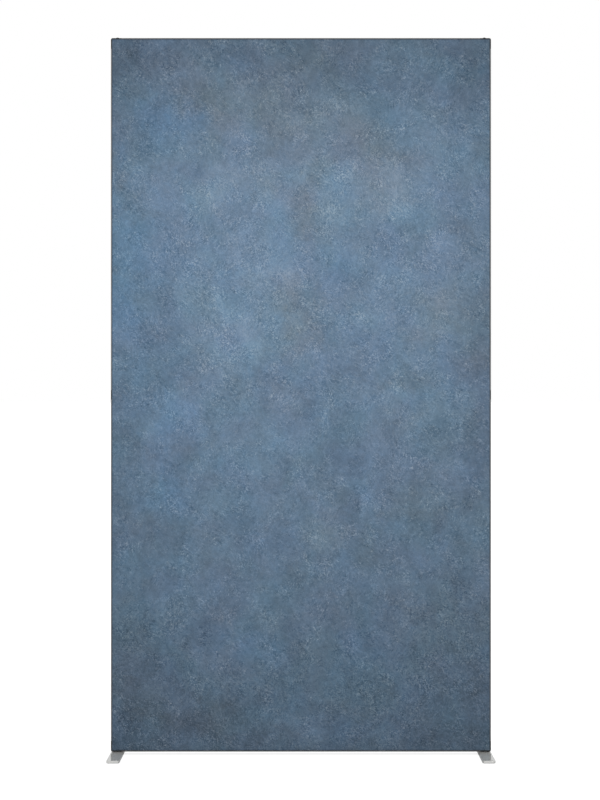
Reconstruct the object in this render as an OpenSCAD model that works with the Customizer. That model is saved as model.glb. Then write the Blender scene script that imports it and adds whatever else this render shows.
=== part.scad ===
// Free-standing exhibition partition wall. An aluminium frame carries a printed fabric whose
// rubber edge strip is pressed into the frame's front groove. The frame comes apart at snap
// buttons and stands on two flat swivelling feet.
// Millimetres. +Z is up, +X is right, the fabric faces -Y, and the floor is z = 0.

/* [Wall] */
// Width over the frame's outer faces
wall_w = 1220; // [900:10:1500]
// Height over the frame's outer faces
wall_h = 2290; // [1500:10:2400]

/* [Frame profile] */
// Width of the profile seen from behind
frame_face = 34; // [33:0.5:36]
// Depth of the frame from front to rear
frame_depth = 40; // [40:1:48]
// Width of the lip that is seen around the fabric
lip_t = 3; // [2.8:0.1:3.2]
// Width of the groove's mouth
groove_mouth = 3.6; // [3.4:0.1:4]
// Depth of the groove from the lip
groove_depth = 13.2; // [12.8:0.1:13.4]
// Thickness of the profile's inner and outer skins
skin_t = 2.2; // [2:0.1:2.4]
// Thickness of the profile's other walls
web_t = 1.6; // [1.4:0.1:1.8]

/* [Connectors] */
// Height of the middle connector's collar
tee_h = 30; // [28:1:40]
// Length of a connector's spigots
spigot_len = 60; // [58:1:80]
// Radius of the frame's outer corners
corner_r = 6; // [4:0.5:8]
// Gap between a spigot and the tube around it
spigot_gap = 0.15; // [0.1:0.05:0.2]

/* [Crossbar] */
// Height of the crossbar
bar_h = 30; // [28:1:30]
// Depth of the crossbar
bar_d = 25; // [24:0.5:28]
// Wall thickness of the crossbar
bar_t = 1.5; // [1.2:0.1:1.8]

/* [Feet] */
// Length of a foot from front to rear
foot_len = 350; // [250:10:450]
// Width of a foot
foot_w = 40; // [34:1:44]
// Thickness of a foot
foot_t = 8; // [7:0.5:12]
// Thickness of the sole under a foot
sole_t = 1; // [1:0.1:2]
// Thickness of the washer that a foot turns against
washer_t = 2; // [1.5:0.1:3]

/* [Release buttons] */
// How far a release button stands above the frame
release_stand = 5.8; // [4.6:0.1:6]
// How far a release button travels
release_travel = 4; // [3.6:0.1:4]
// Radius of a lock ball
ball_r = 4; // [4:0.1:4.2]

/* [Snap buttons] */
// How far a snap button stands out of its hole
snap_stand = 2.4; // [2:0.1:2.8]
// How far a snap button travels
snap_travel = 5; // [4.9:0.1:5.2]

/* [Fabric] */
// Thickness of the fabric with its hem
fabric_t = 0.6; // [0.3:0.1:0.6]
// Height of the rubber edge strip
keder_h = 12; // [10:0.5:12.5]

/* [Hidden] */
$fn = 48;
eps = 1; // how far a cutter runs past the solid that it cuts
left = -1;
right = 1;

// Frame levels and lengths
wall_bottom = sole_t + foot_t + washer_t;
wall_top = wall_bottom + wall_h;
mid_z = (wall_bottom + wall_top) / 2;
rail_len = wall_w - 2 * frame_face;
upright_len = (wall_h - tee_h) / 2 - frame_face;

// Profile section: u runs from the outer face inwards, v runs through the depth
half_depth = frame_depth / 2;
shoulder_step = 0.7;
shoulder_y = half_depth - shoulder_step;
groove_floor = half_depth - groove_depth;
groove_in = lip_t + groove_mouth;
bead_h = 3;
chamber_u0 = groove_in + web_t;
chamber_u1 = frame_face - skin_t;
chamber_y = shoulder_y - 1.8;

// Spigots that fill the chamber; axis_u is the line of the foot pivots and the buttons
axis_u = (chamber_u0 + chamber_u1) / 2;
axis_x = wall_w / 2 - axis_u;
spigot_half = (chamber_u1 - chamber_u0) / 2 - spigot_gap;
spigot_y = chamber_y - spigot_gap;
spigot_t = 3;
bar_spigot_half = bar_d / 2 - bar_t - spigot_gap;
bar_spigot_z = bar_h / 2 - bar_t - spigot_gap;
running = 0.08;
play = 0.05;

// Small screws through the profile's inner skin into a spigot
screw_r = 1.95;
screw_hole_r = 2;
screw_head_r = 3.8;
screw_head_top_r = 2.9;
screw_head_h = 2.2;
screw_len = 8;
recess_w = 0.9;
recess_l = 4.2;
recess_d = 1.3;
screw_places = [20, 45]; // distances from the joint

// Release button: its cone moves two balls as it is pressed
button_r = 4.8;
button_dome_r = 6;
top_plate = 9;
bore_r = 6.7;
collar_r = 6.6;
collar_h = 4;
boss_r = 9;
lock_depth = frame_face + 30; // from the wall's top to the balls' plane
ball_engage = 1.2;
ball_rest = spigot_half + spigot_gap + ball_engage - ball_r;
cone_slope = 0.325; // a ball's travel per millimetre of the button's travel
cone_angle = atan(cone_slope);
cone_r = ball_rest - ball_r / cos(cone_angle) - 0.044;
cone_up = 6.5;
cone_down = 0.77;
cone_top_r = cone_r - cone_slope * cone_up;
spindle_r = cone_r + cone_slope * cone_down;
spindle_end = lock_depth + 8;
ball_hole_r = ball_r + 0.1;
lock_hole_r = 3;
plug_h = 4;
plug_boss_r = 3.6;
plug_boss_h = 3;
release_wire = 1.2;
release_coil_r = 5.2;
spigot_end = frame_face + spigot_len;

// Snap button: a domed pin on a flange, pushed outwards by a spring
pin_r = 4.75;
pin_dome_r = 6;
pin_hole_r = 5;
snap_from_joint = 30;
snap_boss_r = 9.5;
flange_h = 4;
cap_h = 3;
snap_wire = 0.9;
snap_coil_r = 5.4;

// Foot screw, its insert and its washer
m8_r = 4;
m8_len = 35;
m8_head_r = 8;
m8_head_rim = 0.4;
m8_hex_r = 2.9;
m8_hex_d = 3;
m8_recess = 0.2; // how far the head sits up inside the foot
head_z = sole_t + m8_recess;
insert_r = 5.48;
insert_hole_r = 5.5;
insert_len = 20;
insert_bore_r = 4.05;
screw_end_r = 4.5;
screw_end_z = 27;
washer_r = 11;
washer_bore_r = 4.1;
foot_corner_r = 5;
pad_inset = 3;
pad_hole_r = 10;

// Fabric and edge strip
keder_gap = 0.3;
keder_t = groove_mouth - 2 * keder_gap;
fabric_back = shoulder_y + play;
fabric_front = fabric_back + fabric_t;
fabric_inset = lip_t + keder_gap;
keder_end = groove_in + 0.1;

// ---- placing ----

// Draws a left-hand piece on the chosen side
module on_side(side) {
    if (side == right) mirror([1, 0, 0]) children();
    else children();
}

// Extrudes an outline in x and z from y0 to y1
module slab(y0, y1) {
    translate([0, y1, 0]) rotate([90, 0, 0]) linear_extrude(y1 - y0) children();
}

// Repeats a front feature on the rear
module both_faces() {
    children();
    mirror([0, 1, 0]) children();
}

// Local frame of a corner: origin on the outer corner, x along the rail, z along the upright
module at_corner(side, top) {
    on_side(side) translate([-wall_w / 2, 0, top ? wall_top : wall_bottom])
        mirror([0, 0, top ? 1 : 0]) children();
}

// Local frame of a snap button: origin on its spigot's centre line, z the way it points
module at_snap(place, side) {
    on_side(side)
        if (place == "crossbar")
            translate([-rail_len / 2 + snap_from_joint, 0, mid_z]) rotate([-90, 0, 0]) children();
        else
            translate([-axis_x, 0, snap_z(place)]) rotate([0, 90, 0]) children();
}

function snap_z(place) =
    place == "tee" ? mid_z + tee_h / 2 + snap_from_joint : wall_bottom + frame_face + snap_from_joint;
function snap_half(place) = place == "crossbar" ? bar_spigot_half : spigot_half;
function snap_skin(place) = place == "crossbar" ? bar_t : skin_t;

// ---- shapes that repeat ----

// Section of the frame profile
module frame_section(hollow) {
    difference() {
        union() {
            translate([0, -half_depth]) square([lip_t, frame_depth]);
            translate([0, -shoulder_y]) square([frame_face, 2 * shoulder_y]);
        }
        for (face = [0, 1]) mirror([0, face]) {
            translate([lip_t, groove_floor]) square([groove_mouth, groove_depth + eps]);
            translate([skin_t, groove_floor])
                square([groove_in - skin_t, groove_depth - bead_h]);
        }
        if (hollow) {
            translate([skin_t, web_t - groove_floor])
                square([groove_in - skin_t, 2 * (groove_floor - web_t)]);
            translate([chamber_u0, -chamber_y])
                square([chamber_u1 - chamber_u0, 2 * chamber_y]);
        }
    }
}

// Outline of a corner block, set in from its two outer edges, out to a given reach
module corner_outline(inset, reach) {
    r = max(corner_r - inset, 0.5);
    span = reach - inset;
    translate([inset, inset]) {
        translate([r, 0]) square([span - r, span]);
        translate([0, r]) square([span, span - r]);
        translate([r, r]) circle(r);
    }
}

module corner_block() {
    difference() {
        slab(-half_depth, half_depth) corner_outline(0, frame_face);
        both_faces() {
            slab(shoulder_y, half_depth + eps) corner_outline(lip_t, frame_face + eps);
            slab(groove_floor, half_depth + eps) difference() {
                corner_outline(lip_t, frame_face + eps);
                corner_outline(groove_in, frame_face + 2 * eps);
            }
        }
    }
}

// Hollow spigot standing on z = 0
module spigot(half_x, half_y) {
    linear_extrude(spigot_len) difference() {
        square([2 * half_x, 2 * half_y], center = true);
        square([2 * (half_x - spigot_t), 2 * (half_y - spigot_t)], center = true);
    }
}

// Pilot holes for the small screws, z along the spigot from the joint, screws on its +x side
module screw_pilots() {
    for (d = screw_places) translate([0, 0, d])
        rotate([0, 90, 0]) cylinder(h = spigot_half + eps, r = screw_hole_r);
}

// Points the rail spigot's local z along the rail, with its inner side at +x
module along_rail() {
    translate([frame_face, 0, axis_u]) rotate([0, 90, 0]) mirror([1, 0, 0]) children();
}

module snap_boss(half) {
    translate([0, 0, -half]) cylinder(h = 2 * half, r = snap_boss_r);
}

module snap_bore(half) {
    translate([0, 0, -half - eps]) cylinder(h = 2 * half - spigot_t + eps, r = bore_r);
    translate([0, 0, -half]) cylinder(h = 2 * half + eps, r = pin_r + running);
}

// Cylinder with a domed end, standing on z = 0
module domed_pin(h, r, dome_r) {
    intersection() {
        cylinder(h = h, r = r);
        translate([0, 0, h - dome_r]) rotate_extrude() intersection() {
            circle(dome_r);
            translate([0, -2 * h]) square([dome_r, 4 * h]);
        }
        translate([0, 0, -h]) cylinder(h = 3 * h, r = 2 * r);
    }
    cylinder(h = h - dome_r + sqrt(dome_r * dome_r - r * r), r = r);
}

// Coil spring between z = 0 and z = length
module coil_spring(length, coil_r, wire_d, turns) {
    sides = 6;
    steps = turns * 12;
    rise = length - wire_d - 2 * play;
    points = [
        for (i = [0 : steps], j = [0 : sides - 1])
            let (turn = 360 * turns * i / steps, around = 360 * j / sides,
                 r = coil_r + wire_d / 2 * cos(around))
            [r * cos(turn), r * sin(turn),
             play + wire_d / 2 + rise * i / steps + wire_d / 2 * sin(around)]
    ];
    tube = [
        for (i = [0 : steps - 1], j = [0 : sides - 1])
            let (a = i * sides + j, b = i * sides + (j + 1) % sides)
            [a, b, b + sides, a + sides]
    ];
    start = [for (j = [sides - 1 : -1 : 0]) j];
    finish = [for (j = [0 : sides - 1]) steps * sides + j];
    polyhedron(points, concat([start], tube, [finish]), convexity = 8);
}

module small_screw() {
    difference() {
        cylinder(h = screw_head_h, r1 = screw_head_r, r2 = screw_head_top_r);
        for (turn = [0, 90]) rotate([0, 0, turn])
            translate([-recess_l / 2, -recess_w / 2, screw_head_h - recess_d])
                cube([recess_l, recess_w, recess_d + eps]);
    }
    translate([0, 0, -screw_len]) cylinder(h = screw_len, r = screw_r);
}

// Outline of a foot, set in all round
module foot_outline(inset) {
    w = foot_w - 2 * inset;
    l = foot_len - 2 * inset;
    r = foot_corner_r - inset / 2;
    square([w - 2 * r, l], center = true);
    square([w, l - 2 * r], center = true);
    for (x = [-1, 1], y = [-1, 1]) translate([x * (w / 2 - r), y * (l / 2 - r)]) circle(r);
}

// ---- frame ----

module rail() {
    color("silver") difference() {
        translate([-rail_len / 2, 0, 0]) rotate([0, 90, 0]) linear_extrude(rail_len)
            frame_section(hollow = true);
        for (side = [-1, 1], d = screw_places)
            translate([side * (rail_len / 2 - d), 0, -frame_face - eps])
                cylinder(h = skin_t + 2 * eps, r = screw_hole_r);
    }
}

module top_rail() {
    translate([0, 0, wall_top]) rail();
}

module bottom_rail() {
    translate([0, 0, wall_bottom]) mirror([0, 0, 1]) rail();
}

// Left-hand upright from height z0, with holes through its inner skin
module upright(z0, pin_z, lock_z, screw_z) {
    color("silver") translate([-wall_w / 2, 0, 0]) difference() {
        translate([0, 0, z0]) linear_extrude(upright_len) frame_section(hollow = true);
        for (z = pin_z) skin_hole(z, chamber_u1 - eps, pin_hole_r);
        for (z = lock_z) skin_hole(z, skin_t + eps, lock_hole_r);
        for (z = screw_z) skin_hole(z, chamber_u1 - eps, screw_hole_r);
    }
}

module skin_hole(z, u, r) {
    translate([u, 0, z]) rotate([0, 90, 0]) cylinder(h = frame_face - u + eps, r = r);
}

module upright_lower(side) {
    z0 = wall_bottom + frame_face;
    screw_z = [for (d = screw_places) z0 + upright_len - d];
    on_side(side) upright(z0, [snap_z("bottom")], [], screw_z);
}

module upright_upper(side) {
    on_side(side) upright(mid_z + tee_h / 2, [snap_z("tee")], [wall_top - lock_depth], []);
}

module crossbar() {
    color("silver") difference() {
        translate([-rail_len / 2, 0, mid_z]) rotate([0, 90, 0]) linear_extrude(rail_len)
            difference() {
                square([bar_h, bar_d], center = true);
                square([bar_h - 2 * bar_t, bar_d - 2 * bar_t], center = true);
            }
        for (side = [-1, 1])
            translate([side * (rail_len / 2 - snap_from_joint), 0, mid_z])
                rotate([-90, 0, 0]) cylinder(h = bar_d, r = pin_hole_r);
    }
}

// ---- connectors ----

module corner_spigots() {
    translate([axis_u, 0, frame_face]) spigot(spigot_half, spigot_y);
    along_rail() spigot(spigot_half, spigot_y);
}

module corner_top(side) {
    color("dimgray") at_corner(side, top = true) difference() {
        union() {
            corner_block();
            corner_spigots();
            translate([axis_u, 0, frame_face]) cylinder(h = spigot_len, r = boss_r);
        }
        translate([axis_u, 0, -eps]) cylinder(h = top_plate + 2 * eps, r = button_r + running);
        translate([axis_u, 0, top_plate]) cylinder(h = spigot_end, r = bore_r);
        translate([axis_u, 0, lock_depth]) rotate([0, 90, 0])
            cylinder(h = 2 * (spigot_half + eps), r = ball_hole_r, center = true);
        along_rail() screw_pilots();
    }
}

module corner_bottom(side) {
    color("dimgray") at_corner(side, top = false) difference() {
        union() {
            corner_block();
            corner_spigots();
            translate([axis_u, 0, frame_face + snap_from_joint]) rotate([0, 90, 0])
                snap_boss(spigot_half);
        }
        translate([axis_u, 0, frame_face + snap_from_joint]) rotate([0, 90, 0])
            snap_bore(spigot_half);
        translate([axis_u, 0, -eps]) cylinder(h = insert_len + eps, r = insert_hole_r);
        translate([axis_u, 0, 0]) cylinder(h = screw_end_z, r = screw_end_r);
        along_rail() screw_pilots();
    }
}

module tee(side) {
    color("dimgray") on_side(side) translate([-wall_w / 2, 0, mid_z]) difference() {
        union() {
            translate([0, 0, -tee_h / 2]) linear_extrude(tee_h) frame_section(hollow = false);
            for (way = [0, 1]) mirror([0, 0, way])
                translate([axis_u, 0, tee_h / 2]) spigot(spigot_half, spigot_y);
            translate([frame_face, 0, 0]) rotate([0, 90, 0])
                spigot(bar_spigot_z, bar_spigot_half);
            translate([axis_u, 0, tee_h / 2 + snap_from_joint]) rotate([0, 90, 0])
                snap_boss(spigot_half);
            translate([frame_face + snap_from_joint, 0, 0]) rotate([-90, 0, 0])
                snap_boss(bar_spigot_half);
        }
        translate([axis_u, 0, tee_h / 2 + snap_from_joint]) rotate([0, 90, 0])
            snap_bore(spigot_half);
        translate([frame_face + snap_from_joint, 0, 0]) rotate([-90, 0, 0])
            snap_bore(bar_spigot_half);
        translate([axis_u, 0, -tee_h / 2]) mirror([0, 0, 1]) screw_pilots();
    }
}

// ---- fabric ----

module front_fabric() {
    r = corner_r - fabric_inset;
    w = wall_w - 2 * fabric_inset;
    h = wall_h - 2 * fabric_inset;
    color("steelblue") translate([0, 0, mid_z]) slab(-fabric_front, -fabric_back) {
        square([w - 2 * r, h], center = true);
        square([w, h - 2 * r], center = true);
        for (x = [-1, 1], z = [-1, 1]) translate([x * (w / 2 - r), z * (h / 2 - r)]) circle(r);
    }
}

module keder_strip(length) {
    color("whitesmoke") translate([-length / 2, -fabric_back, -fabric_inset - keder_t])
        cube([length, keder_h, keder_t]);
}

module keder_top() {
    translate([0, 0, wall_top]) keder_strip(wall_w - 2 * keder_end);
}

module keder_bottom() {
    translate([0, 0, wall_bottom]) mirror([0, 0, 1]) keder_strip(wall_w - 2 * keder_end);
}

module keder_side(side) {
    on_side(side) translate([-wall_w / 2, 0, mid_z]) rotate([0, -90, 0])
        keder_strip(wall_h - 2 * keder_end);
}

// ---- fasteners ----

module rail_screws() {
    color("lightgray") for (side = [-1, 1], d = screw_places)
        translate([side * (rail_len / 2 - d), 0, 0]) {
            translate([0, 0, wall_bottom + frame_face]) small_screw();
            translate([0, 0, wall_top - frame_face]) mirror([0, 0, 1]) small_screw();
        }
}

module tee_screws() {
    color("lightgray") for (side = [left, right], d = screw_places) on_side(side)
        translate([-wall_w / 2 + frame_face, 0, mid_z - tee_h / 2 - d])
            rotate([0, 90, 0]) small_screw();
}

// ---- feet ----

module foot(side) {
    cone_z = head_z + m8_head_rim;
    color("gainsboro") translate([side * axis_x, 0, 0]) difference() {
        translate([0, 0, sole_t]) linear_extrude(foot_t) foot_outline(0);
        cylinder(h = wall_bottom, r = m8_r + running);
        cylinder(h = cone_z + play, r = m8_head_r + 2 * running);
        translate([0, 0, cone_z]) cylinder(
            h = m8_head_r - m8_r, r1 = m8_head_r + 2 * running, r2 = m8_r + 2 * running);
    }
}

module foot_pad(side) {
    color("black") translate([side * axis_x, 0, 0]) linear_extrude(sole_t) difference() {
        foot_outline(pad_inset);
        circle(pad_hole_r);
    }
}

module foot_washer(side) {
    color("white") translate([side * axis_x, 0, sole_t + foot_t + play]) difference() {
        cylinder(h = washer_t - play, r = washer_r);
        translate([0, 0, -eps]) cylinder(h = washer_t + 2 * eps, r = washer_bore_r);
    }
}

module foot_screw(side) {
    color("silver") translate([side * axis_x, 0, head_z]) difference() {
        union() {
            cylinder(h = m8_head_rim, r = m8_head_r);
            translate([0, 0, m8_head_rim])
                cylinder(h = m8_head_r - m8_r, r1 = m8_head_r, r2 = m8_r);
            cylinder(h = m8_len, r = m8_r);
        }
        translate([0, 0, -eps]) cylinder(h = m8_hex_d + eps, r = m8_hex_r, $fn = 6);
    }
}

module foot_insert(side) {
    color("goldenrod") translate([side * axis_x, 0, wall_bottom]) difference() {
        cylinder(h = insert_len - play, r = insert_r);
        translate([0, 0, -eps]) cylinder(h = insert_len + 2 * eps, r = insert_bore_r);
    }
}

// ---- release buttons; their local z runs down from the wall's top ----

module at_release(side) {
    translate([side * axis_x, 0, wall_top]) mirror([0, 0, 1]) children();
}

module release_button(side) {
    color("dimgray") at_release(side) {
        mirror([0, 0, 1]) domed_pin(release_stand, button_r, button_dome_r);
        cylinder(h = top_plate + collar_h, r = button_r);
        translate([0, 0, top_plate + play]) cylinder(h = collar_h, r = collar_r);
        cylinder(h = lock_depth, r = cone_top_r);
        translate([0, 0, lock_depth - cone_up])
            cylinder(h = cone_up + cone_down, r1 = cone_top_r, r2 = spindle_r);
        translate([0, 0, lock_depth + cone_down])
            cylinder(h = spindle_end - lock_depth, r = spindle_r);
        translate([0, 0, spindle_end]) cylinder(h = collar_h, r = collar_r);
    }
}

// way is -1 for the ball nearer the wall's outer face on the left, 1 for the other
module lock_ball(side, way) {
    color("lightgray") on_side(side) translate([-axis_x + way * ball_rest, 0, wall_top - lock_depth])
        sphere(ball_r);
}

module release_spring(side) {
    z0 = spindle_end + collar_h;
    color("gray") at_release(side) translate([0, 0, z0])
        coil_spring(spigot_end - plug_h - z0, release_coil_r, release_wire, 5);
}

module release_plug(side) {
    color("dimgray") at_release(side) {
        translate([0, 0, spigot_end - plug_h]) cylinder(h = plug_h, r = collar_r);
        translate([0, 0, spigot_end - plug_h - plug_boss_h])
            cylinder(h = plug_boss_h + eps, r = plug_boss_r);
    }
}

// ---- snap buttons ----

module snap_button(place, side) {
    half = snap_half(place);
    flange_z = half - spigot_t - play - flange_h;
    tip = half + spigot_gap + snap_skin(place) + snap_stand;
    color("lightgray") at_snap(place, side) translate([0, 0, flange_z]) {
        cylinder(h = flange_h, r = collar_r);
        domed_pin(tip - flange_z, pin_r, pin_dome_r);
    }
}

module snap_spring(place, side) {
    half = snap_half(place);
    length = 2 * half - cap_h - spigot_t - play - flange_h;
    color("gray") at_snap(place, side) translate([0, 0, cap_h - half])
        coil_spring(length, snap_coil_r, snap_wire, 5);
}

module snap_caps() {
    color("dimgray") for (place = ["bottom", "tee", "crossbar"], side = [left, right])
        at_snap(place, side) translate([0, 0, -snap_half(place)])
            cylinder(h = cap_h, r = collar_r);
}

top_rail();
bottom_rail();
crossbar();
upright_lower(left);  // upright_lower_left
upright_lower(right);  // upright_lower_right
upright_upper(left);  // upright_upper_left
upright_upper(right);  // upright_upper_right
corner_top(left);  // corner_top_left
corner_top(right);  // corner_top_right
corner_bottom(left);  // corner_bottom_left
corner_bottom(right);  // corner_bottom_right
tee(left);  // tee_left
tee(right);  // tee_right
front_fabric();
keder_top();
keder_bottom();
keder_side(left);  // keder_left
keder_side(right);  // keder_right
rail_screws();
tee_screws();
foot(left);  // foot_left
foot(right);  // foot_right
foot_pad(left);  // foot_pad_left
foot_pad(right);  // foot_pad_right
foot_washer(left);  // foot_washer_left
foot_washer(right);  // foot_washer_right
foot_screw(left);  // foot_screw_left
foot_screw(right);  // foot_screw_right
foot_insert(left);  // foot_insert_left
foot_insert(right);  // foot_insert_right
release_button(left);  // release_button_left
release_button(right);  // release_button_right
lock_ball(left, -1);  // lock_ball_left_outer
lock_ball(left, 1);  // lock_ball_left_inner
lock_ball(right, -1);  // lock_ball_right_outer
lock_ball(right, 1);  // lock_ball_right_inner
release_spring(left);  // release_spring_left
release_spring(right);  // release_spring_right
release_plug(left);  // release_plug_left
release_plug(right);  // release_plug_right
snap_button("bottom", left);  // snap_button_bottom_left
snap_button("bottom", right);  // snap_button_bottom_right
snap_button("tee", left);  // snap_button_tee_left
snap_button("tee", right);  // snap_button_tee_right
snap_button("crossbar", left);  // snap_button_crossbar_left
snap_button("crossbar", right);  // snap_button_crossbar_right
snap_spring("bottom", left);  // snap_spring_bottom_left
snap_spring("bottom", right);  // snap_spring_bottom_right
snap_spring("tee", left);  // snap_spring_tee_left
snap_spring("tee", right);  // snap_spring_tee_right
snap_spring("crossbar", left);  // snap_spring_crossbar_left
snap_spring("crossbar", right);  // snap_spring_crossbar_right
snap_caps();
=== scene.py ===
import math

import bmesh
import bpy
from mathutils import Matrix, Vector


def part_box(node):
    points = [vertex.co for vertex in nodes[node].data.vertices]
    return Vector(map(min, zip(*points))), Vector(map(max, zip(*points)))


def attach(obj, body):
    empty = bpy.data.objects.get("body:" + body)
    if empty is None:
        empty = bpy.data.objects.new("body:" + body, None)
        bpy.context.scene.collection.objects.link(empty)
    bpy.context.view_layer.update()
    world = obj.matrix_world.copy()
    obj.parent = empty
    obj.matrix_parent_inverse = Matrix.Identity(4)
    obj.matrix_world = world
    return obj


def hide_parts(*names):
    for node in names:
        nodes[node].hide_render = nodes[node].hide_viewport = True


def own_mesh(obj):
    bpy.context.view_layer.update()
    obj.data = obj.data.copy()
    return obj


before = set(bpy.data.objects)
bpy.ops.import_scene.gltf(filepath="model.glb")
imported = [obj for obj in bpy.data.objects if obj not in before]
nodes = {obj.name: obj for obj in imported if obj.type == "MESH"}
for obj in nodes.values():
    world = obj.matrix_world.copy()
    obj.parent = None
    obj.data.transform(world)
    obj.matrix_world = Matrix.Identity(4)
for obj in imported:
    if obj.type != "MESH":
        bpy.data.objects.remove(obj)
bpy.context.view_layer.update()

MM = 0.001

# ---- sizes taken from the frame ----

cloth_low, cloth_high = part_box("front_fabric")
wall_low_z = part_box("bottom_rail")[0].z
wall_high_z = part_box("top_rail")[1].z
wall_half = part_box("upright_upper_right")[1].x
wall_height = wall_high_z - wall_low_z
lip_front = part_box("top_rail")[0].y
SIDES = ("left", "right")


def srgb(r, g, b):
    """A colour given as 0 to 255 on a screen, as the linear one that shaders take."""

    def linear(v):
        v /= 255
        return v / 12.92 if v <= 0.04045 else ((v + 0.055) / 1.055) ** 2.4

    return (linear(r), linear(g), linear(b), 1.0)


# ---- node helper ----


class Graph:
    """A material's node tree, built with short calls. Inputs are numbers, colours or sockets."""

    def __init__(self, name, **principled):
        self.material = bpy.data.materials.new(name)
        self.material.use_nodes = True
        self.tree = self.material.node_tree
        self.tree.nodes.clear()
        self.shader = self.node("BsdfPrincipled")
        self.output = self.node("OutputMaterial")
        self.tree.links.new(self.shader.outputs["BSDF"], self.output.inputs["Surface"])
        self.place = self.node("TexCoord").outputs["Object"]
        self.set(**principled)

    def node(self, kind, **settings):
        made = self.tree.nodes.new("ShaderNode" + kind)
        for key, value in settings.items():
            setattr(made, key, value)
        return made

    def put(self, socket, value):
        if isinstance(value, bpy.types.NodeSocket):
            self.tree.links.new(value, socket)
        elif socket.type == "VALUE":
            socket.default_value = float(value)
        else:
            socket.default_value = value

    def set(self, **values):
        for key, value in values.items():
            self.put(self.shader.inputs[key.replace("_", " ")], value)

    def math(self, operation, a, b=0.0, clamp=False):
        made = self.node("Math", operation=operation, use_clamp=clamp)
        self.put(made.inputs[0], a)
        self.put(made.inputs[1], b)
        return made.outputs[0]

    def stretch(self, scale=(1, 1, 1), shift=(0, 0, 0), vector=None):
        made = self.node("Mapping")
        self.put(made.inputs["Vector"], vector or self.place)
        self.put(made.inputs["Scale"], scale)
        self.put(made.inputs["Location"], shift)
        return made.outputs[0]

    def turned(self, degrees):
        """The place on the surface, turned about the Y axis."""
        made = self.node("Mapping")
        self.put(made.inputs["Vector"], self.place)
        self.put(made.inputs["Rotation"], (0, math.radians(degrees), 0))
        return made.outputs[0]

    def noise(self, scale, detail=3.0, rough=0.5, warp=0.0, vector=None, colour=False):
        made = self.node("TexNoise")
        self.put(made.inputs["Vector"], vector or self.place)
        self.put(made.inputs["Scale"], scale)
        self.put(made.inputs["Detail"], detail)
        self.put(made.inputs["Roughness"], rough)
        self.put(made.inputs["Distortion"], warp)
        return made.outputs["Color" if colour else "Fac"]

    def span(self, value, low, high, to_low=0.0, to_high=1.0):
        """Eases from to_low to to_high while the value runs from low to high."""
        made = self.node("MapRange", interpolation_type="SMOOTHSTEP")
        for key, v in (("Value", value), ("From Min", low), ("From Max", high),
                       ("To Min", to_low), ("To Max", to_high)):
            self.put(made.inputs[key], v)
        return made.outputs[0]

    def mix(self, share, a, b, blend="MIX"):
        made = self.node("Mix", data_type="RGBA", blend_type=blend)
        self.put(made.inputs["Factor"], share)
        # The colour sockets of this node share their names with the number ones
        self.put(made.inputs[6], a)
        self.put(made.inputs[7], b)
        return made.outputs[2]

    def curve(self, value, stops):
        """A smooth curve drawn near (value, result) pairs."""
        made = self.node("ValToRGB")
        made.color_ramp.interpolation = "B_SPLINE"
        elements = made.color_ramp.elements
        while len(elements) < len(stops):
            elements.new(0.5)
        for element, (place, tone) in zip(elements, stops):
            element.position = place
            element.color = (tone, tone, tone, 1.0)
        self.put(made.inputs[0], value)
        return made.outputs[0]

    def bump(self, height, strength, distance):
        made = self.node("Bump")
        self.put(made.inputs["Height"], height)
        self.put(made.inputs["Strength"], strength)
        self.put(made.inputs["Distance"], distance)
        return made.outputs[0]


def add(g, total, value, share):
    """total + value * share, as one node."""
    made = g.node("Math", operation="MULTIPLY_ADD")
    g.put(made.inputs[0], value)
    g.put(made.inputs[1], share)
    g.put(made.inputs[2], total)
    return made.outputs[0]


# ---- the painted print ----

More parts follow.
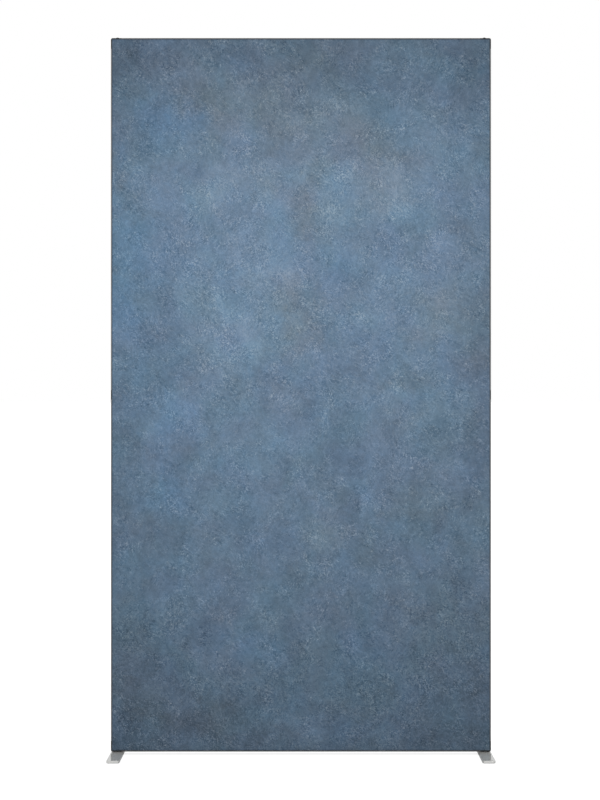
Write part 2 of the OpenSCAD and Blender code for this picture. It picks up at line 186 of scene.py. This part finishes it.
# Soft patches, listed one by one: place across and up the wall as shares of its size, radius across
# and up in metres, how much lighter, and how much warmer (towards grey-brown) or bluer.
PATCHES = (
    (0.07, 0.97, 0.18, 0.10, -0.05, 0.1),
    (0.20, 0.955, 0.10, 0.05, 0.04, 0.1),
    (0.55, 0.97, 0.24, 0.12, -0.04, 0.3),
    (0.24, 0.92, 0.10, 0.07, -0.04, 0.3),
    (0.14, 0.88, 0.09, 0.09, -0.01, -0.5),
    (0.42, 0.89, 0.30, 0.14, -0.03, 0.6),
    (0.02, 0.82, 0.05, 0.04, -0.06, 0.3),
    (0.24, 0.78, 0.08, 0.06, 0.05, 0.4),
    (0.36, 0.80, 0.14, 0.10, 0.02, 0.4),
    (0.52, 0.78, 0.08, 0.11, -0.05, 0.6),
    (0.68, 0.84, 0.18, 0.10, -0.04, 0.6),
    (0.71, 0.78, 0.12, 0.08, 0.02, 0.6),
    (0.75, 0.73, 0.12, 0.05, -0.04, -0.1),
    (0.43, 0.67, 0.10, 0.09, 0.07, 0.3),
    (0.33, 0.59, 0.13, 0.13, 0.06, 0.1),
    (0.48, 0.61, 0.05, 0.12, -0.04, 0.6),
    (0.62, 0.67, 0.09, 0.07, -0.05, -0.2),
    (0.86, 0.62, 0.12, 0.12, 0.01, 0.7),
    (0.99, 0.60, 0.08, 0.50, -0.03, 0.2),
    (0.04, 0.64, 0.14, 0.40, 0.00, -0.4),
    (0.78, 0.525, 0.12, 0.04, -0.06, 0.2),
    (0.62, 0.52, 0.08, 0.05, -0.05, 0.0),
    (0.45, 0.52, 0.07, 0.05, -0.06, 0.1),
    (0.14, 0.46, 0.10, 0.12, 0.09, -0.3),
    (0.04, 0.44, 0.05, 0.05, -0.06, 0.0),
    (0.80, 0.47, 0.08, 0.05, 0.04, 0.3),
    (0.12, 0.37, 0.16, 0.10, 0.04, -0.4),
    (0.60, 0.41, 0.09, 0.06, -0.03, -0.1),
    (0.40, 0.38, 0.14, 0.14, 0.03, 0.0),
    (0.80, 0.345, 0.14, 0.07, -0.06, 0.4),
    (0.90, 0.38, 0.10, 0.06, 0.03, 0.1),
    (0.57, 0.31, 0.08, 0.07, 0.05, 0.4),
    (0.68, 0.26, 0.10, 0.06, -0.05, 0.0),
    (0.16, 0.22, 0.16, 0.20, 0.05, -0.1),
    (0.88, 0.18, 0.18, 0.16, -0.04, 0.2),
    (0.64, 0.12, 0.14, 0.10, 0.01, -0.3),
    (0.36, 0.16, 0.10, 0.10, 0.02, -0.3),
    (0.22, 0.05, 0.14, 0.07, -0.07, 0.3),
    (0.04, 0.10, 0.10, 0.12, 0.00, 0.2),
    (0.50, 0.04, 0.20, 0.08, 0.09, -0.2),
)
# How light the print is, from the bottom (0) to the top (1) of the wall
TONE_BY_HEIGHT = ((0.0, 0.69), (0.06, 0.75), (0.16, 0.81), (0.32, 0.87), (0.5, 0.94),
                  (0.68, 1.0), (0.8, 1.0), (0.9, 0.92), (1.0, 0.8))


def ragged_place(g, reach):
    """The place on the cloth bent by a slow noise, which gives patches a ragged outline."""
    drift = g.noise(5.0, detail=4, rough=0.6, colour=True)
    centred = g.node("VectorMath", operation="SUBTRACT")
    g.put(centred.inputs[0], drift)
    g.put(centred.inputs[1], (0.5, 0.5, 0.5))
    bent = g.node("VectorMath", operation="MULTIPLY_ADD")
    g.put(bent.inputs[0], centred.outputs[0])
    g.put(bent.inputs[1], (reach, reach, reach))
    g.put(bent.inputs[2], g.place)
    return bent.outputs[0]


def laid_patches(g):
    """How much the listed patches lighten and warm the print at each place."""
    bent = ragged_place(g, 0.35)
    light, warm = 0.0, 0.0
    for x, z, wide, high, lighter, warmer in PATCHES:
        centre_x = (x - 0.5) * 2 * wall_half
        centre_z = wall_low_z + z * wall_height
        near = g.stretch((1 / wide, 0, 1 / high), (-centre_x / wide, 0, -centre_z / high), bent)
        length = g.node("VectorMath", operation="LENGTH")
        g.put(length.inputs[0], near)
        share = g.span(length.outputs["Value"], 1.4, 0.0)
        light = add(g, light, share, lighter)
        warm = add(g, warm, share, warmer)
    return light, warm


def brush_strokes(g, scale, long):
    """Short strokes in three directions, each where its own slow mask lets it through."""
    strokes = None
    for index, (degrees, spread) in enumerate(((14, 8.0), (-33, 9.5), (58, 11.0))):
        drawn_out = g.stretch((1, 1, 1 / long), (index * 3, 0, index * 5), g.turned(degrees))
        one_way = g.noise(scale, detail=2, rough=0.6, warp=0.5, vector=drawn_out)
        if strokes is None:
            strokes = one_way
            continue
        where = g.noise(spread, detail=2, vector=g.stretch(shift=(index * 4, 0, 7)))
        strokes = g.mix(g.span(where, 0.44, 0.56), strokes, one_way)
    return strokes


def brush_grain(g):
    """The finest marks of the brush and sponge, strong in some clusters and faint in others."""
    strokes = g.math("SUBTRACT", brush_strokes(g, 230.0, 1.8), 0.5)
    specks = g.noise(330.0, detail=1, rough=0.5, warp=0.4, vector=g.stretch(shift=(6, 0, 3)))
    grain = add(g, g.math("MULTIPLY", strokes, 0.37), g.math("SUBTRACT", specks, 0.5), 0.34)
    # The finest bristle marks are only seen from close by
    bristle_way = g.stretch((1, 1, 0.6), (2, 0, 6), g.turned(-33))
    bristles = g.noise(1000.0, detail=3, rough=0.65, vector=bristle_way)
    grain = add(g, grain, g.math("SUBTRACT", bristles, 0.5), 0.14)
    clusters = g.noise(19.0, detail=4, rough=0.65, warp=0.7, vector=g.stretch(shift=(1, 0, 9)))
    grain = g.math("MULTIPLY", grain, g.span(clusters, 0.34, 0.66, 0.45, 1.65))
    # Pale flecks stand out where the brush was dry
    flecks = g.math("MULTIPLY", g.span(specks, 0.58, 0.76), g.span(clusters, 0.5, 0.66))
    return add(g, grain, flecks, 0.12)


def edge_shade(g, place):
    """Painted shade: the cloth's colour darkens over its last millimetres, where it rolls into the
    frame's groove.
    """
    middle_z = (wall_low_z + wall_high_z) / 2
    away_z = g.math("ABSOLUTE", g.math("SUBTRACT", place.outputs["Z"], middle_z))
    from_side = g.math("SUBTRACT", wall_half, g.math("ABSOLUTE", place.outputs["X"]))
    from_end = g.math("SUBTRACT", wall_height / 2, away_z)
    nearest = g.math("MINIMUM", from_side, from_end)
    return g.span(nearest, 3.5 * MM, 7.5 * MM, 0.6, 1.0)


def print_colour(g):
    """The hand-painted look of the print: clouds, sponge dabs and brush strokes in slate blue."""
    split = g.node("SeparateXYZ")
    g.put(split.inputs[0], g.place)
    across = g.math("DIVIDE", split.outputs["X"], 2 * wall_half)
    up = g.math("SUBTRACT", split.outputs["Z"], wall_low_z)
    up = g.math("DIVIDE", up, wall_height)
    light, warm = laid_patches(g)

    clouds = g.noise(5.0, detail=4, rough=0.55, warp=0.4, vector=g.stretch((1.2, 1, 0.9)))
    mottle = g.noise(13.0, detail=4, rough=0.6, warp=0.5, vector=g.stretch((1.15, 1, 0.9), (3, 0, 1)))
    sponge = g.noise(48.0, detail=3, rough=0.6, warp=0.8, vector=g.stretch(shift=(5, 0, 2)))
    broad = brush_strokes(g, 105.0, 2.0)
    tints = g.noise(8.0, detail=3, rough=0.6, warp=0.5, vector=g.stretch(shift=(7, 0, 4)))
    greens = g.noise(6.0, detail=2, rough=0.5, warp=0.4, vector=g.stretch(shift=(2, 0, 8)))
    grain = brush_grain(g)

    tone = g.curve(up, TONE_BY_HEIGHT)
    edge = g.math("POWER", g.math("ABSOLUTE", g.math("MULTIPLY", across, 2.0)), 3.0)
    tone = add(g, tone, edge, -0.08)
    for value, share in ((clouds, 0.16), (mottle, 0.28), (sponge, 0.18), (broad, 0.18)):
        tone = add(g, tone, g.math("SUBTRACT", value, 0.5), share)
    tone = g.math("ADD", tone, light)
    tone = g.math("ADD", tone, grain)
    tone = g.math("POWER", tone, 2.2)
    # Painted shade along the edges, where the cloth rolls into the groove
    tone = g.math("MULTIPLY", tone, edge_shade(g, split))

    # The pale flecks are greyer than the ground and the dark ones bluer
    warmth = add(g, 0.42, warm, 0.5)
    warmth = add(g, warmth, g.math("SUBTRACT", tints, 0.5), 0.6)
    warmth = add(g, warmth, grain, 2.4)
    warmth = g.math("ADD", warmth, 0.0, clamp=True)
    cool = g.mix(g.span(greens, 0.3, 0.7), srgb(88, 119.4, 151), srgb(86, 121.3, 150))
    grey = g.mix(g.span(greens, 0.3, 0.7), srgb(115, 125.4, 138), srgb(113, 127.3, 138))
    hue = g.mix(warmth, cool, grey)
    return g.mix(1.0, hue, tone, blend="MULTIPLY")


def knit(g, pitch, strength):
    """Fine knit of a tension fabric: two crossing ribs, and a little unevenness."""
    turns = 2 * math.pi / pitch
    split = g.node("SeparateXYZ")
    g.put(split.inputs[0], g.place)
    wale = g.math("SINE", g.math("MULTIPLY", split.outputs["X"], turns))
    course = g.math("SINE", g.math("MULTIPLY", split.outputs["Z"], turns * 0.8))
    height = g.math("MULTIPLY", wale, course)
    height = add(g, height, g.noise(700.0, detail=1), 1.2)
    return g.bump(height, strength, 0.1 * MM)


def cloth_front():
    """The printed face of the fabric."""
    g = Graph("printed_face", Roughness=0.88, Specular_IOR_Level=0.25, Sheen_Weight=0.12,
              Sheen_Roughness=0.5)
    colour = print_colour(g)
    g.set(Base_Color=colour, Normal=knit(g, 0.9 * MM, 0.25))
    return g.material


def cloth_back():
    """The unprinted back of the fabric, nearly white and a little uneven."""
    g = Graph("fabric_back", Roughness=0.92, Specular_IOR_Level=0.2, Sheen_Weight=0.1,
              Sheen_Roughness=0.5)
    ghost = g.noise(3.0, detail=4, rough=0.55)
    colour = g.mix(g.span(ghost, 0.3, 0.7), srgb(212, 214, 217), srgb(222, 223, 223))
    g.set(Base_Color=colour, Normal=knit(g, 0.9 * MM, 0.35))
    return g.material


# ---- metals, plastics and rubbers ----


def aluminium(name, along, shade):
    """Satin anodised extrusion with fine die lines along one axis."""
    across = {"x": (0.6, 900, 900), "z": (900, 900, 0.6)}[along]
    g = Graph(name, Metallic=1.0)
    lines = g.noise(1.0, detail=2, rough=0.5, vector=g.stretch(across))
    cloud = g.noise(6.0, detail=3)
    rough = g.span(lines, 0.3, 0.7, 0.34, 0.44)
    rough = add(g, rough, g.math("SUBTRACT", cloud, 0.5), 0.12)
    darker, lighter = srgb(shade - 6, shade - 6, shade - 6), srgb(shade, shade, shade + 2)
    tint = g.mix(g.span(cloud, 0.3, 0.7), darker, lighter)
    g.set(Base_Color=tint, Roughness=rough, Normal=g.bump(lines, 0.12, 0.05 * MM))
    return g.material


def moulded(name, shade, rough=0.5, grain=0.35):
    """Moulded plastic or rubber with a fine spark-eroded grain."""
    g = Graph(name, Specular_IOR_Level=0.4)
    spark = g.noise(1400.0, detail=2, rough=0.6)
    cloud = g.noise(30.0, detail=3)
    colour = g.mix(cloud, srgb(*(0.88 * c for c in shade)), srgb(*shade))
    uneven = add(g, rough, g.math("SUBTRACT", cloud, 0.5), 0.15)
    g.set(Base_Color=colour, Roughness=uneven, Normal=g.bump(spark, grain, 0.06 * MM))
    return g.material


def foot_plate():
    """Glossy silver lacquer over brushed steel, with a few light scuffs. The faces towards the front and
    back get a painted highlight, and fine glints are painted into the colour.
    """
    g = Graph("silver_foot", Metallic=0.15, Specular_IOR_Level=0.32)
    brushed = g.noise(1.0, detail=3, rough=0.6, vector=g.stretch((1200, 25, 400)))
    painted_glints = g.noise(2600.0, detail=1)
    scuffs = g.noise(60.0, detail=5, rough=0.7, warp=1.2)
    marks = g.span(scuffs, 0.64, 0.8)
    rough = g.span(brushed, 0.3, 0.7, 0.10, 0.14)
    rough = add(g, rough, marks, 0.05)
    split = g.node("SeparateXYZ")
    g.put(split.inputs[0], g.node("TexCoord").outputs["Normal"])
    # Painted highlight: faces that look to the front or back get a brighter colour
    ends = g.span(g.math("ABSOLUTE", split.outputs["Y"]), 0.7, 0.95)
    lacquer_and_highlights = g.mix(g.span(brushed, 0.3, 0.7), srgb(140, 140, 138), srgb(152, 152, 150))
    lacquer_and_highlights = g.mix(ends, lacquer_and_highlights, srgb(196, 196, 194))
    # Painted glints: fine bright specks in the lacquer's colour
    lacquer_and_highlights = g.mix(g.math("MULTIPLY", g.span(painted_glints, 0.55, 0.75), 0.3), lacquer_and_highlights, srgb(206, 206, 204))
    colour = g.mix(g.math("MULTIPLY", marks, 0.4), lacquer_and_highlights, srgb(140, 140, 137))
    g.set(Base_Color=colour, Roughness=rough, Normal=g.bump(brushed, 0.03, 0.02 * MM))
    return g.material


def turned_metal(name, shade, rough):
    """Small turned or plated metal pieces with faint machining marks."""
    g = Graph(name, Metallic=1.0)
    marks = g.noise(900.0, detail=2, rough=0.5)
    cloud = g.noise(60.0, detail=3)
    colour = g.mix(cloud, srgb(*(0.9 * c for c in shade)), srgb(*shade))
    g.set(Base_Color=colour, Roughness=add(g, rough, g.math("SUBTRACT", cloud, 0.5), 0.15),
          Normal=g.bump(marks, 0.08, 0.03 * MM))
    return g.material


def silicone():
    """Milky white silicone of the edge strips."""
    g = Graph("silicone_strip", Roughness=0.45, Subsurface_Weight=0.2,
              Subsurface_Radius=(0.002, 0.002, 0.002))
    cloud = g.noise(40.0, detail=2)
    g.set(Base_Color=g.mix(cloud, srgb(218, 220, 218), srgb(232, 233, 231)),
          Normal=g.bump(g.noise(500.0), 0.1, 0.05 * MM))
    return g.material


# ---- pieces ----


def perimeter(half_x, half_z, lines_x, lines_z, radius, arc):
    """Points round a rectangle with rounded corners, from the lower left corner anticlockwise.
    Each corner is a list of as many points as arc says, and each line is a list of one point."""
    corners = ((-1, -1, 180), (1, -1, 270), (1, 1, 0), (-1, 1, 90))
    sides = (
        [(x, -half_z) for x in lines_x],
        [(half_x, z) for z in lines_z],
        [(x, half_z) for x in reversed(lines_x)],
        [(-half_x, z) for z in reversed(lines_z)],
    )
    loop = []
    for (sx, sz, start), side in zip(corners, sides):
        cx, cz = sx * (half_x - radius), sz * (half_z - radius)
        turn = [math.radians(start + 90 * i / (arc - 1)) for i in range(arc)]
        loop.append([(cx + radius * math.cos(t), cz + radius * math.sin(t)) for t in turn])
        loop += [[p] for p in side]
    return loop


def even_lines(half, spacing):
    """Inner grid lines between -half and half, about a spacing apart."""
    count = max(2, round(2 * half / spacing))
    return [-half + 2 * half * i / count for i in range(1, count)]


ROLL = 1.6  # radius in millimetres of the cloth's bend over the silicone strip


def tucked_cloth(material_front, material_back):
    """The fabric: a stretched face whose edges roll over and run down into the groove."""
    skirt = 3.14 * MM  # from the wall's outline to the middle of the cloth in the groove
    half_x = wall_half - skirt
    half_z = wall_height / 2 - skirt
    mid_z = (wall_low_z + wall_high_z) / 2
    # A hair behind the front of the CAD sheet, so that the cloth stays inside the CAD box
    face_y = cloth_low.y + 0.03 * MM
    faded = 80 * MM  # how far in from an edge the pulls reach their full depth
    # Inset from the skirt, and depth behind the face, of each ring from the face outwards
    bends = [math.radians(90 * i / 6) for i in range(7)]
    roll = [(4.0, 0.0)] + [(ROLL * (1 - math.sin(t)), ROLL * (1 - math.cos(t))) for t in bends]
    roll += [(0.0, 6.0), (0.0, 11.0)]
    spacing = 12 * MM
    inner_x, inner_z = half_x - roll[0][0] * MM, half_z - roll[0][0] * MM
    lines_x, lines_z = even_lines(inner_x, spacing), even_lines(inner_z, spacing)

    mesh = bmesh.new()

    def sag(x, z):
        """How far the stretched face lies behind its plane: faint pulls that fade at the edges."""
        edge = min(1.0, (half_x - abs(x)) / faded, (half_z - abs(z)) / faded)
        slow = 0.5 + 0.5 * math.sin(5.3 * x + 1.7 * math.sin(2.1 * z)) * math.cos(3.1 * z + 0.7)
        return 0.5 * MM * max(0.0, edge) * slow

    def vertex(x, z, depth):
        return mesh.verts.new((x, face_y + depth + sag(x, z), mid_z + z))

    xs = [-inner_x] + lines_x + [inner_x]
    zs = [-inner_z] + lines_z + [inner_z]
    grid = [[vertex(x, z, 0.0) for x in xs] for z in zs]
    for low, high in zip(grid, grid[1:]):
        for i in range(len(xs) - 1):
            mesh.faces.new((low[i], low[i + 1], high[i + 1], high[i]))

    last_x, last_z = len(xs) - 1, len(zs) - 1
    inner = [grid[0][0]] + grid[0][1:last_x] + [grid[0][last_x]]
    inner += [grid[j][last_x] for j in range(1, last_z)] + [grid[last_z][last_x]]
    inner += [grid[last_z][i] for i in range(last_x - 1, 0, -1)] + [grid[last_z][0]]
    inner += [grid[j][0] for j in range(last_z - 1, 0, -1)]
    previous = [[v] for v in inner]
    for inset, depth in roll[1:]:
        radius = max(0.3, 2.85 - inset) * MM
        loop = perimeter(half_x - inset * MM, half_z - inset * MM, lines_x, lines_z, radius, 5)
        ring = [[vertex(x, z, depth * MM) for x, z in spot] for spot in loop]
        join_rings(mesh, previous, ring)
        previous = ring
    piece = finished("fabric_face", mesh, [material_front, material_back])
    solid = piece.modifiers.new("thickness", "SOLIDIFY")
    solid.thickness = 0.22 * MM
    solid.offset = -1.0
    solid.use_even_offset = True
    solid.material_offset = 1
    solid.material_offset_rim = 1
    return piece


def edge_strip(node, outward, material):
    """A silicone strip with the length of its CAD node and a front that is round under the cloth."""
    low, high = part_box(node)
    lengthwise = 2 if outward[0] else 0
    crosswise = 0 if outward[0] else 2
    sign = outward[0] or outward[1]
    outer = high[crosswise] if sign > 0 else low[crosswise]
    width = high[crosswise] - low[crosswise]
    round_outer, round_inner = (ROLL - 0.2) * MM, 0.5 * MM
    # Distance in from the outer side, and depth from the front, round the section
    section = [(0.0, high.y - low.y - 0.4 * MM), (0.4 * MM, high.y - low.y)]
    section += [(width - 0.4 * MM, high.y - low.y), (width, high.y - low.y - 0.4 * MM)]
    for centre, radius, start in ((width - round_inner, round_inner, 0), (round_outer, round_outer, 90)):
        for i in range(7):
            t = math.radians(start + 90 * i / 6)
            section.append((centre + radius * math.cos(t), radius - radius * math.sin(t)))
    mesh = bmesh.new()
    ends = []
    for place in (low[lengthwise], high[lengthwise]):
        spots = []
        for across, depth in section:
            spot = [0.0, low.y + depth, 0.0]
            spot[crosswise] = outer - sign * across
            spot[lengthwise] = place
            spots.append(mesh.verts.new(spot))
        ends.append(spots)
    count = len(section)
    for i in range(count):
        j = (i + 1) % count
        mesh.faces.new((ends[0][i], ends[0][j], ends[1][j], ends[1][i]))
    mesh.faces.new(ends[0][::-1])
    mesh.faces.new(ends[1])
    piece = finished(f"{node}_strip", mesh, [material], smooth=False)
    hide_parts(node)
    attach(piece, "frame")
    return piece


def join_rings(mesh, inner, outer):
    """Faces between two rings of spots, where a spot is one vertex or a corner's arc of them."""
    count = len(inner)
    for i in range(count):
        a, b = inner[i], outer[i]
        for j in range(len(b) - 1):
            if len(a) == 1:
                mesh.faces.new((a[0], b[j], b[j + 1]))
            else:
                mesh.faces.new((a[j], b[j], b[j + 1], a[j + 1]))
        a_next, b_next = inner[(i + 1) % count], outer[(i + 1) % count]
        mesh.faces.new((a[-1], b[-1], b_next[0], a_next[0]))


def finished(name, mesh, materials, smooth=True):
    """Turns a bmesh into a named object with its materials."""
    bmesh.ops.recalc_face_normals(mesh, faces=mesh.faces)
    data = bpy.data.meshes.new(name)
    mesh.to_mesh(data)
    mesh.free()
    for polygon in data.polygons:
        polygon.use_smooth = smooth
    for material in materials:
        data.materials.append(material)
    piece = bpy.data.objects.new(name, data)
    bpy.context.scene.collection.objects.link(piece)
    return piece


def coil(name, start, end, coil_r, wire_r, turns, material):
    """A round-wire compression spring from start to end, with closed end turns."""
    axis = (end - start).normalized()
    side = axis.orthogonal().normalized()
    other = axis.cross(side)
    length = (end - start).length - 2 * wire_r
    steps, ring = int(turns * 28), 10
    mesh = bmesh.new()
    rows = []
    for i in range(steps + 1):
        t = i / steps
        # The pitch is close at both ends, as on a spring with closed ends
        rise = length * (t - 0.75 / (2 * math.pi) * math.sin(2 * math.pi * t)) + wire_r
        angle = 2 * math.pi * turns * t
        out = side * math.cos(angle) + other * math.sin(angle)
        centre = start + axis * rise + out * coil_r
        rows.append([
            mesh.verts.new(centre + (out * math.cos(a) + axis * math.sin(a)) * wire_r)
            for a in (2 * math.pi * k / ring for k in range(ring))
        ])
    for low, high in zip(rows, rows[1:]):
        for k in range(ring):
            mesh.faces.new((low[k], low[(k + 1) % ring], high[(k + 1) % ring], high[k]))
    mesh.faces.new(rows[0][::-1])
    mesh.faces.new(rows[-1])
    return finished(name, mesh, [material])


def axis_ends(node, axis):
    """The middle of a node's two end faces along an axis, low end first."""
    low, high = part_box(node)
    start = (low + high) / 2
    end = start.copy()
    start[axis], end[axis] = low[axis], high[axis]
    return start, end


def add_spring(node, axis, fixed_is_low, coil_r, wire_r, material):
    """A round-wire spring in place of its CAD node, attached to the frame."""
    low, high = axis_ends(node, axis)
    start, end = (low, high) if fixed_is_low else (high, low)
    piece = coil(f"{node}_wire", start, end, coil_r, wire_r, 6, material)
    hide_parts(node)
    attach(piece, "frame")
    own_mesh(piece)


def soften(node, width, segments=2):
    """Gives a CAD node small rounded edges by modifiers, without changing its own mesh.
    Its flat triangles are joined first, since a bevel leaves dark creases along them."""
    weld = node.modifiers.new("weld", "WELD")
    weld.merge_threshold = 0.002 * MM
    flats = node.modifiers.new("flats", "DECIMATE")
    flats.decimate_type = "DISSOLVE"
    flats.angle_limit = math.radians(0.5)
    bevel = node.modifiers.new("edges", "BEVEL")
    bevel.width = width
    bevel.segments = segments
    bevel.limit_method = "ANGLE"
    bevel.angle_limit = math.radians(32)
    bevel.use_clamp_overlap = True
    bevel.harden_normals = True


def paint(names, material):
    """Gives CAD nodes their material."""
    for name in names:
        data = nodes[name].data
        data.materials.clear()
        data.materials.append(material)


# ---- camera, floor and light ----


def make_camera():
    """A level camera in front of the wall, at about half its height."""
    distance, height, aside = 6.54, 1.1395, -0.003
    data = bpy.data.cameras.new("camera")
    data.sensor_fit = "VERTICAL"
    data.sensor_height = 36
    data.lens = 91.7
    data.clip_end = 2000
    camera = bpy.data.objects.new("camera", data)
    camera.location = (aside, lip_front - distance, height)
    camera.rotation_euler = (math.radians(90), 0, 0)
    bpy.context.scene.collection.objects.link(camera)
    bpy.context.scene.camera = camera


def make_floor():
    """A pale floor without end, which looks white but throws little light back on the object."""
    half = 900
    mesh = bmesh.new()
    corners = [(-half, -half, 0), (half, -half, 0), (half, half, 0), (-half, half, 0)]
    mesh.faces.new([mesh.verts.new(c) for c in corners])
    g = Graph("floor", Base_Color=(0.4, 0.4, 0.4, 1), Roughness=0.9, Specular_IOR_Level=0.1)
    white = g.node("BsdfPrincipled")
    for key, value in (("Base Color", (0.22, 0.22, 0.22, 1)), ("Roughness", 0.9),
                       ("Specular IOR Level", 0.0), ("Emission Color", (1, 1, 1, 1)),
                       ("Emission Strength", 0.8)):
        white.inputs[key].default_value = value
    mix = g.node("MixShader")
    g.put(mix.inputs[0], g.node("LightPath").outputs["Is Camera Ray"])
    g.tree.links.new(g.shader.outputs[0], mix.inputs[1])
    g.tree.links.new(white.outputs[0], mix.inputs[2])
    g.tree.links.new(mix.outputs[0], g.output.inputs["Surface"])
    floor = finished("floor", mesh, [g.material], smooth=False)
    floor.location.z = -0.2 * MM


def make_world():
    """A white backdrop, and a room that is dim in front of the wall and bright behind and above."""
    world = bpy.data.worlds.new("studio")
    bpy.context.scene.world = world
    world.use_nodes = True
    tree = world.node_tree
    tree.nodes.clear()
    link = tree.links.new
    output = tree.nodes.new("ShaderNodeOutputWorld")
    seen = tree.nodes.new("ShaderNodeBackground")
    room = tree.nodes.new("ShaderNodeBackground")
    for background in (seen, room):
        background.inputs["Color"].default_value = (1, 1, 1, 1)
        background.inputs["Strength"].default_value = 1.0
    path = tree.nodes.new("ShaderNodeLightPath")
    mix = tree.nodes.new("ShaderNodeMixShader")
    link(path.outputs["Is Camera Ray"], mix.inputs[0])
    link(room.outputs[0], mix.inputs[1])
    link(seen.outputs[0], mix.inputs[2])
    link(mix.outputs[0], output.inputs["Surface"])

    direction = tree.nodes.new("ShaderNodeTexCoord")
    split = tree.nodes.new("ShaderNodeSeparateXYZ")
    depth = tree.nodes.new("ShaderNodeMapRange")
    for key, value in (("From Min", -1.0), ("From Max", 0.6), ("To Min", 0.34), ("To Max", 0.95)):
        depth.inputs[key].default_value = value
    link(direction.outputs["Generated"], split.inputs[0])
    link(split.outputs["Y"], depth.inputs["Value"])
    link(depth.outputs[0], room.inputs["Strength"])


def make_lamp(name, energy, width, tilt):
    """A broad far lamp, with its width and tilt in degrees. A positive tilt shines on the front of
    the wall, a negative one on the back."""
    sun = bpy.data.lights.new(name, "SUN")
    sun.energy = energy
    sun.angle = math.radians(width)
    lamp = bpy.data.objects.new(name, sun)
    lamp.rotation_euler = (math.radians(tilt), 0, 0)
    bpy.context.scene.collection.objects.link(lamp)


def make_light():
    """The room, a lamp in front of the wall and a weaker one behind it, shown without a film look."""
    make_world()
    make_lamp("front_light", energy=3.0, width=30, tilt=38)
    make_lamp("back_light", energy=1.5, width=40, tilt=-45)
    view = bpy.context.scene.view_settings
    view.view_transform = "Standard"
    view.look = "None"
    view.exposure = 0.0


# ---- assembly ----

make_camera()
make_floor()
make_light()

RAILS = ["top_rail", "bottom_rail"]
UPRIGHTS = [f"upright_{part}_{side}" for part in ("lower", "upper") for side in SIDES]
CONNECTORS = [f"corner_{end}_{side}" for end in ("top", "bottom") for side in SIDES]
CONNECTORS += [f"tee_{side}" for side in SIDES]
PLACES = ("bottom", "tee", "crossbar")

paint(UPRIGHTS, aluminium("anodised_upright", "z", 150))
# The rails are the same aluminium as the uprights but get a darker shade (124 against 150): painted
# shade for their darker reflections
paint(RAILS, aluminium("anodised_rail_painted_shade", "x", 124))
paint(["crossbar"], aluminium("anodised_crossbar", "x", 152))
paint(CONNECTORS, moulded("black_nylon", (38, 39, 41)))
rubber = silicone()
paint([f"keder_{edge}" for edge in ("top", "bottom", "left", "right")], rubber)
paint(["rail_screws", "tee_screws"] + [f"foot_screw_{side}" for side in SIDES],
      turned_metal("zinc_plated", (196, 196, 192), rough=0.3))
paint([f"foot_{side}" for side in SIDES], foot_plate())
paint([f"foot_pad_{side}" for side in SIDES], moulded("sole_rubber", (34, 34, 34), rough=0.8, grain=0.6))
paint([f"foot_washer_{side}" for side in SIDES],
      moulded("washer_nylon", (214, 214, 208), rough=0.4, grain=0.1))
paint([f"foot_insert_{side}" for side in SIDES], turned_metal("insert_brass", (196, 164, 96), rough=0.3))
paint([f"release_button_{side}" for side in SIDES],
      turned_metal("blackened_steel", (88, 89, 91), rough=0.38))
paint([f"lock_ball_{side}_{place}" for side in SIDES for place in ("outer", "inner")],
      turned_metal("ball_steel", (226, 226, 226), rough=0.12))
paint([f"release_plug_{side}" for side in SIDES] + ["snap_caps"], moulded("cap_plastic", (34, 34, 36)))
paint([f"snap_button_{place}_{side}" for place in PLACES for side in SIDES],
      turned_metal("snap_steel", (206, 206, 204), rough=0.2))

for name in RAILS + UPRIGHTS:
    soften(nodes[name], 0.35 * MM)
soften(nodes["crossbar"], 0.8 * MM, 3)
for name in CONNECTORS:
    soften(nodes[name], 0.4 * MM)
for side in SIDES:
    soften(nodes[f"foot_{side}"], 1.1 * MM, 3)

strips = [
    edge_strip(f"keder_{edge}", outward, rubber)
    for edge, outward in (("top", (0, 1)), ("bottom", (0, -1)), ("left", (-1, 0)), ("right", (1, 0)))
]
cloth = tucked_cloth(cloth_front(), cloth_back())
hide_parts("front_fabric")
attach(cloth, "frame")

wire = turned_metal("spring_wire", (150, 150, 152), rough=0.3)
for side in SIDES:
    add_spring(f"release_spring_{side}", axis=2, fixed_is_low=True,
               coil_r=5.2 * MM, wire_r=0.6 * MM, material=wire)
    for place in PLACES:
        along = 1 if place == "crossbar" else 0
        low_is_fixed = place == "crossbar" or side == "left"
        add_spring(f"snap_spring_{place}_{side}", axis=along,
                   fixed_is_low=low_is_fixed, coil_r=5.4 * MM, wire_r=0.45 * MM,
                   material=wire)
